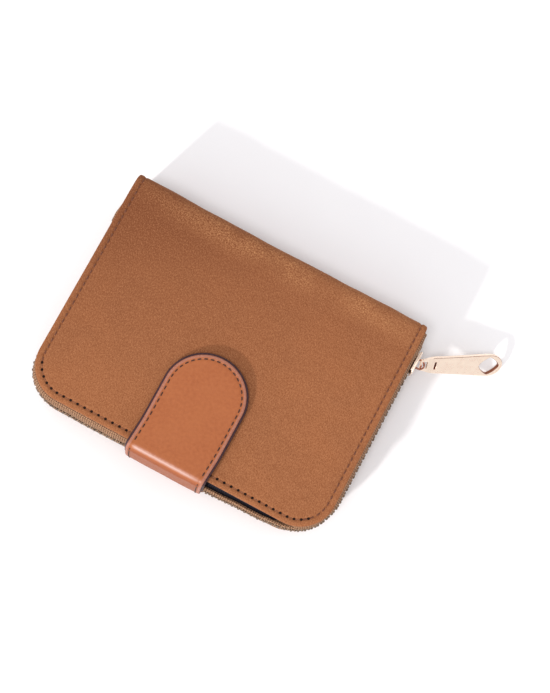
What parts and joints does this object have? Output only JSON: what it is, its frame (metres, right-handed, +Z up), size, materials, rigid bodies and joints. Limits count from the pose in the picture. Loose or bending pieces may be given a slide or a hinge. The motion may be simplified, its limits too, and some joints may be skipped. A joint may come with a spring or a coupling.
{
  "type": "zip-around wallet",
  "caption": "Small zip-around bifold wallet in suede with a leather snap tab across the zip edge, card slots inside and a long flat zip puller.",
  "frame": {"origin": "centre of the back cover's outer face, which the wallet lies on", "axes": "+X along the spine towards the zip puller's side, +Y from the zip edge to the spine, +Z up out of the back cover through the front cover"},
  "size_m": [0.1541, 0.0991, 0.0278],
  "materials": {
    "suede": "suede, fine nap",
    "board": "stiffening board",
    "lining": "plain woven lining",
    "pocket_leather": "smooth thin leather",
    "zip_tape": "woven zip tape",
    "zip_teeth": "dull rose gold",
    "thread": "waxed dark brown thread",
    "tab_leather": "smooth, semi-gloss",
    "tab_lining": "smooth thin leather",
    "clear_film": "clear flexible film",
    "snap_metal": "satin rose gold",
    "rose_gold": "polished rose gold"
  },
  "bodies": {
    "back": {"back_cover": "suede", "back_board": "board", "back_lining": "lining", "card_slot_rear": "pocket_leather", "card_slot_middle": "pocket_leather", "card_slot_front": "pocket_leather", "zip_tape_lower": "zip_tape", "zip_teeth_lower": "zip_teeth", "zip_stop_lower": "zip_teeth", "zip_bottom_stop": "zip_teeth", "back_stitching": "thread", "tab_anchor": "tab_leather"},
    "spine": {"spine_panel": "suede", "spine_lining": "lining"},
    "front": {"front_cover": "suede", "front_board": "board", "front_lining": "lining", "slip_pocket": "pocket_leather", "id_window_frame": "pocket_leather", "id_window": "clear_film", "zip_tape_upper": "zip_tape", "zip_teeth_upper": "zip_teeth", "zip_stop_upper": "zip_teeth", "front_stitching": "thread", "snap_stud": "snap_metal", "snap_stud_washer": "snap_metal"},
    "riser": {"tab_riser": "tab_leather", "tab_riser_lining": "tab_lining", "tab_riser_stitching": "thread"},
    "flap": {"tab_flap": "tab_leather", "tab_flap_lining": "tab_lining", "tab_stitching": "thread", "snap_socket": "snap_metal", "snap_socket_washer": "snap_metal"},
    "slider": {"slider_body": "rose_gold", "slider_bail": "rose_gold"},
    "pull": {"puller": "rose_gold"}
  },
  "joints": [
    {"name": "spine_fold", "type": "hinge", "parent": "back", "child": "spine", "pos_m": [0, 0.0435, 0], "axis": [-1, 0, 0], "range_deg": [0, 90]},
    {"name": "front_fold", "type": "hinge", "parent": "spine", "child": "front", "pos_m": [0, 0.0435, 0.024], "axis": [-1, 0, 0], "range_deg": [0, 90]},
    {"name": "tab_riser_fold", "type": "hinge", "parent": "back", "child": "riser", "pos_m": [0, -0.04555, 0.00205], "axis": [1, 0, 0], "range_deg": [0, 90]},
    {"name": "tab_flap_fold", "type": "hinge", "parent": "riser", "child": "flap", "pos_m": [0, -0.04555, 0.026], "axis": [1, 0, 0], "range_deg": [0, 90]},
    {"name": "slider_run", "type": "slide", "parent": "back", "child": "slider", "axis": [0, -1, 0], "range_m": [0, 0.054], "deforming": ["zip_teeth_lower", "zip_teeth_upper"]},
    {"name": "puller_swing", "type": "hinge", "parent": "slider", "child": "pull", "pos_m": [0.0641, 0.033, 0.012], "axis": [0, 0, 1], "range_deg": [-70, 16]}
  ],
  "couplings": [
    {"joint": "front_fold", "follows": "spine_fold", "ratio": 1}
  ]
}
